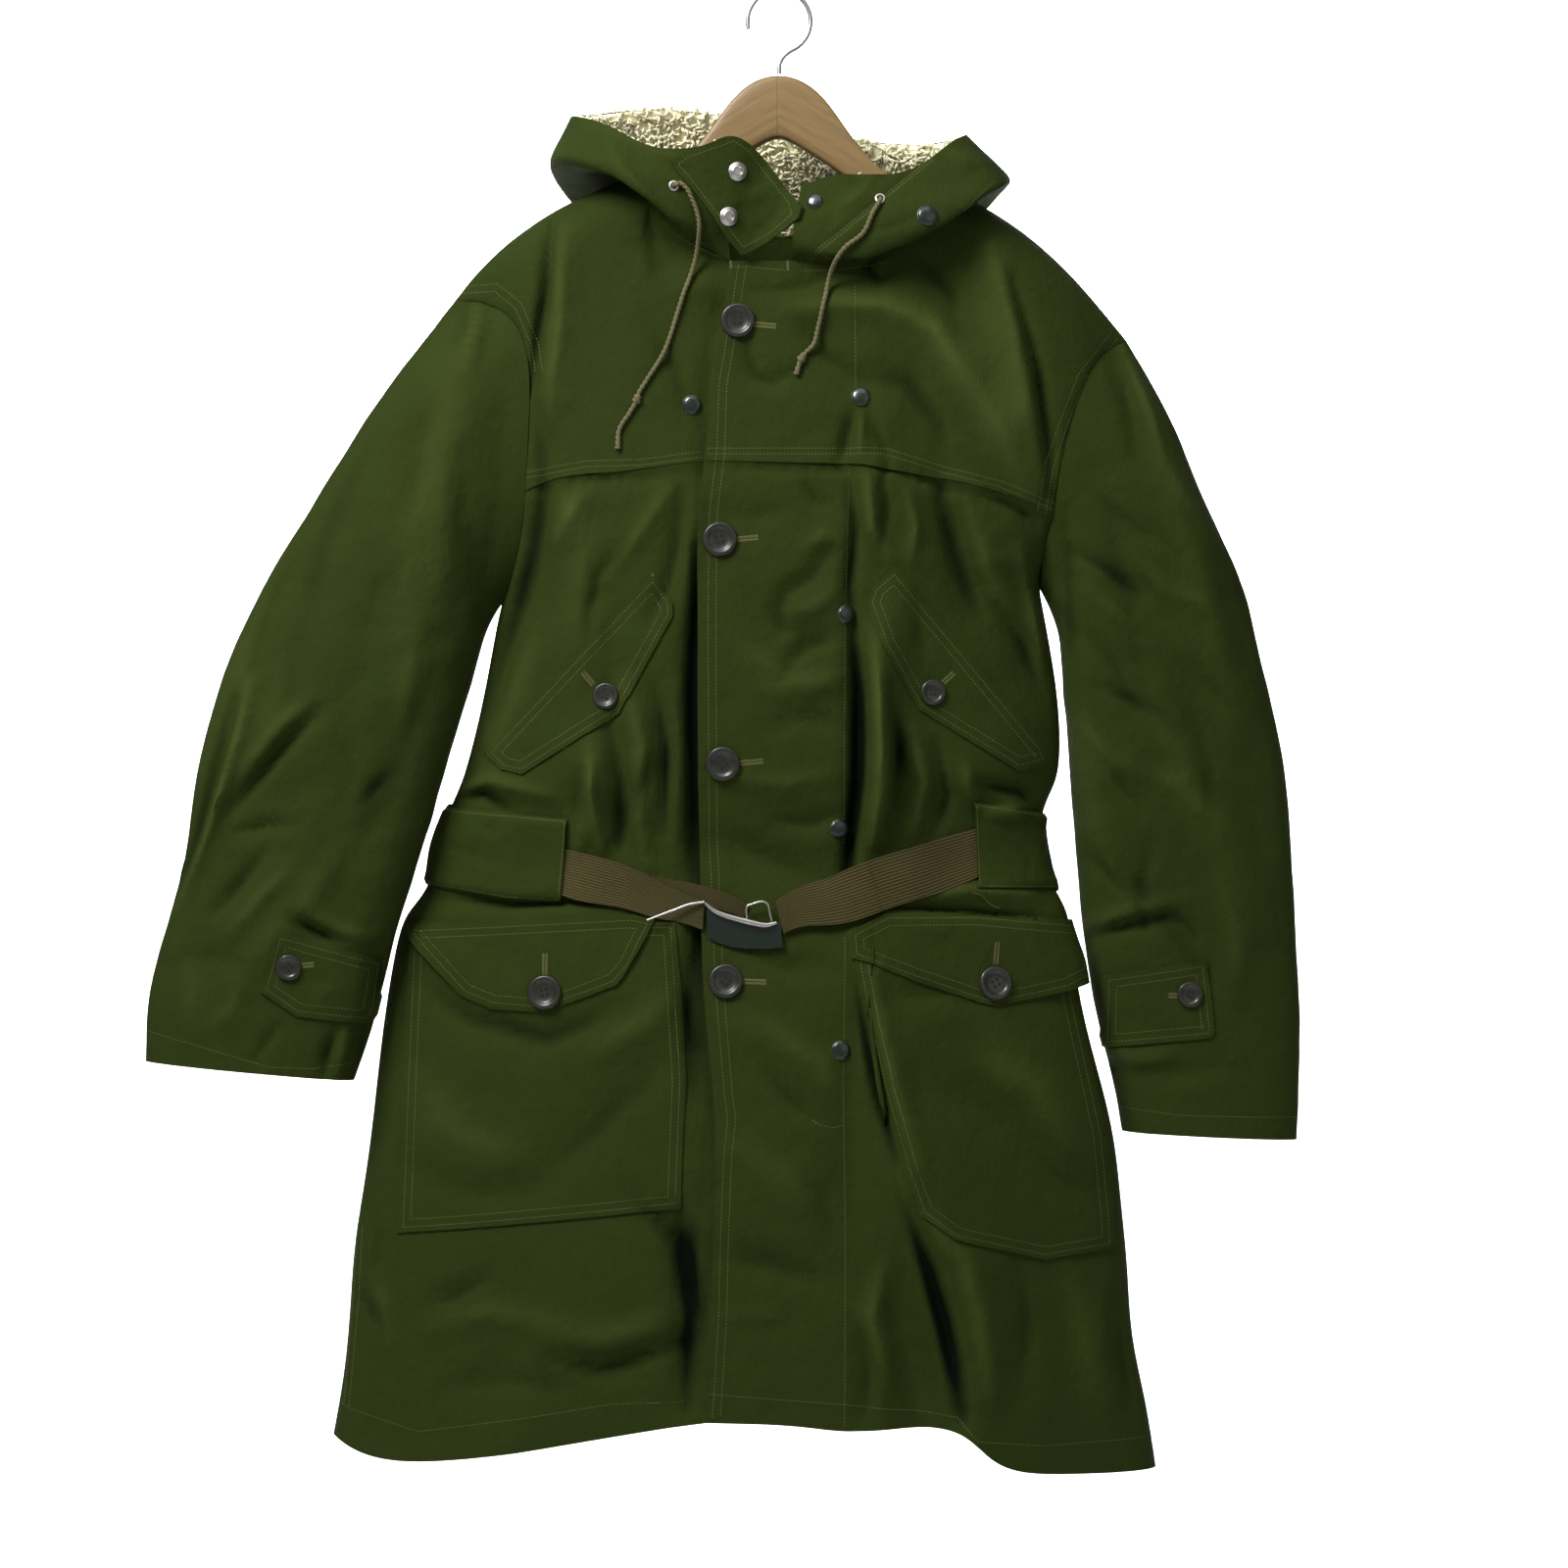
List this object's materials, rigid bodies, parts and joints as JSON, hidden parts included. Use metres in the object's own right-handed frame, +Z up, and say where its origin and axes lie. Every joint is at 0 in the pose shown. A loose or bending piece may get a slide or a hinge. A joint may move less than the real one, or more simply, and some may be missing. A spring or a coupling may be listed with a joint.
{
  "type": "field parka on a wooden hanger",
  "caption": "Thigh-length olive field parka with a pile-lined hood, fly front, flapped pockets and an elastic belt, hung open and hollow on a wooden hanger.",
  "frame": {"origin": "inner top of the hanger's hook, where a rail carries it", "axes": "+Z up, the front faces -Y, +X is the wearer's left"},
  "size_m": [0.951, 0.2097, 1.2211],
  "materials": {
    "cloth": "matte olive cotton sateen",
    "pile": "curly cream pile",
    "webbing": "ribbed khaki elastic webbing",
    "drawstring": "twisted cotton cord",
    "button": "dark horn-brown, half gloss",
    "snap_paint": "dark green enamel",
    "steel": "worn nickel plate",
    "wood": "satin varnish"
  },
  "bodies": {
    "root": {"back": "cloth", "front_left": "cloth", "front_right": "cloth", "yoke_left": "cloth", "yoke_right": "cloth", "sleeve_left": "cloth", "sleeve_right": "cloth", "hood": "cloth", "throat_tab": "cloth", "chest_flap_left": "cloth", "chest_flap_right": "cloth", "pocket_left": "cloth", "pocket_right": "cloth", "pocket_flap_left": "cloth", "pocket_flap_right": "cloth", "belt_casing_back": "cloth", "belt_casing_left": "cloth", "belt_casing_right": "cloth", "cuff_tab_left": "cloth", "cuff_tab_right": "cloth", "hood_pile": "pile", "belt_webbing_left": "webbing", "belt_webbing_right": "webbing", "belt_strap": "webbing", "drawcord_left": "drawstring", "drawcord_right": "drawstring", "front_button_1": "button", "front_button_2": "button", "front_button_3": "button", "front_button_4": "button", "chest_button_left": "button", "chest_button_right": "button", "pocket_button_left": "button", "pocket_button_right": "button", "cuff_button_left": "button", "cuff_button_right": "button", "front_snap_1": "snap_paint", "front_snap_2": "snap_paint", "front_snap_3": "snap_paint", "front_snap_4": "snap_paint", "under_snap": "snap_paint", "hood_snap": "snap_paint", "collar_stud": "snap_paint", "buckle_plate": "snap_paint", "tab_socket_1": "steel", "tab_socket_2": "steel", "eyelet_left": "steel", "eyelet_right": "steel", "buckle_bar": "steel", "buckle_ring": "steel", "buckle_prong": "steel", "hook": "steel", "hanger": "wood"}
  },
  "joints": []
}
